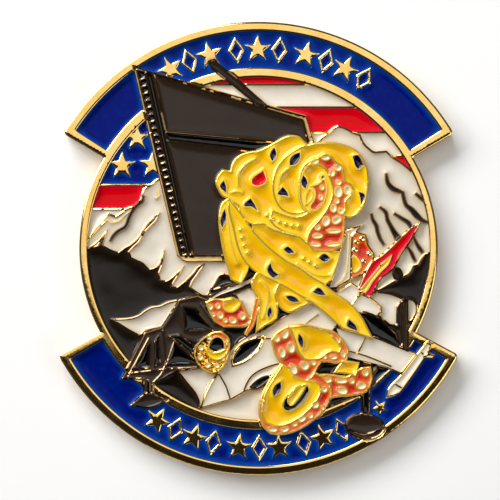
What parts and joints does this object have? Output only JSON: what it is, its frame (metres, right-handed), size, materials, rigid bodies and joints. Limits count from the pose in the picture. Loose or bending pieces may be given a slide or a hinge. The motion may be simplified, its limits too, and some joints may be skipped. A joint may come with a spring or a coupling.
{
  "type": "challenge coin",
  "caption": "Custom-shaped gold-plated challenge coin: round relief scene between two curved scrolls, with coloured soft enamel fills.",
  "frame": {"origin": "centre of the coin's bounding box in plan, on the plane of the raised rim of the back face", "axes": "+Z out of the decorated face, +Y towards the top scroll, +X to the right as the face is read"},
  "size_m": [0.0556, 0.0634, 0.0037],
  "materials": {
    "gold_plate": "polished gold plating over die-cast zinc alloy",
    "royal_blue_enamel": "glossy cured soft enamel",
    "red_enamel": "glossy cured soft enamel",
    "white_enamel": "glossy cured soft enamel",
    "snow_enamel": "glossy cured soft enamel",
    "rock_enamel": "glossy cured soft enamel",
    "taupe_enamel": "glossy cured soft enamel",
    "black_enamel": "glossy cured soft enamel",
    "yellow_enamel": "glossy cured soft enamel",
    "orange_enamel": "glossy cured soft enamel",
    "navy_enamel": "glossy cured soft enamel",
    "cream_enamel": "glossy cured soft enamel"
  },
  "bodies": {
    "root": {"coin_body": "gold_plate", "top_scroll_enamel": "royal_blue_enamel", "bottom_scroll_enamel": "royal_blue_enamel", "canton_enamel": "royal_blue_enamel", "upper_red_stripe": "red_enamel", "upper_white_stripe": "white_enamel", "middle_red_stripe": "red_enamel", "middle_white_stripe": "white_enamel", "right_red_stripe": "red_enamel", "left_red_stripe": "red_enamel", "left_white_stripe": "white_enamel", "left_rock_enamel": "rock_enamel", "left_snow_enamel": "snow_enamel", "left_foreground_snow": "snow_enamel", "nose_ground_snow": "snow_enamel", "right_rock_enamel": "rock_enamel", "right_snow_enamel": "snow_enamel", "right_foreground_snow": "snow_enamel", "mountain_cracks": "rock_enamel", "mast_tooth_band": "black_enamel", "mast_inner_band": "black_enamel", "upper_panel_enamel": "taupe_enamel", "lower_panel_enamel": "taupe_enamel", "panel_gap_enamel": "black_enamel", "antenna_rod_enamel": "taupe_enamel", "truss_enamel": "taupe_enamel", "truss_windows": "black_enamel", "left_foot_pad": "taupe_enamel", "right_foot_pad": "taupe_enamel", "right_leg_enamel": "black_enamel", "jet_fuselage_enamel": "white_enamel", "jet_nose_enamel": "white_enamel", "jet_canopy_enamel": "black_enamel", "jet_intake_enamel": "black_enamel", "jet_fin_enamel": "white_enamel", "jet_tail_enamel": "white_enamel", "jet_right_wing_enamel": "white_enamel", "jet_left_wing_enamel": "white_enamel", "wing_tip_missile": "white_enamel", "slim_missile": "white_enamel", "flame_red_enamel": "red_enamel", "flame_core_enamel": "yellow_enamel", "hook_arm_orange": "orange_enamel", "hook_arm_yellow": "yellow_enamel", "head_enamel": "yellow_enamel", "left_arm_enamel": "yellow_enamel", "right_arm_enamel": "yellow_enamel", "curl_arm_enamel": "yellow_enamel", "cross_arm_enamel": "yellow_enamel", "back_arm_enamel": "yellow_enamel", "front_arms_enamel": "yellow_enamel", "lower_loop_yellow": "yellow_enamel", "lower_arms_yellow": "yellow_enamel", "upper_underside_orange": "orange_enamel", "grip_underside_orange": "orange_enamel", "lower_underside_orange": "orange_enamel", "sucker_enamel": "cream_enamel", "navy_spots": "navy_enamel", "red_eye_enamel": "red_enamel", "curl_hollow_black": "black_enamel"}
  },
  "joints": []
}
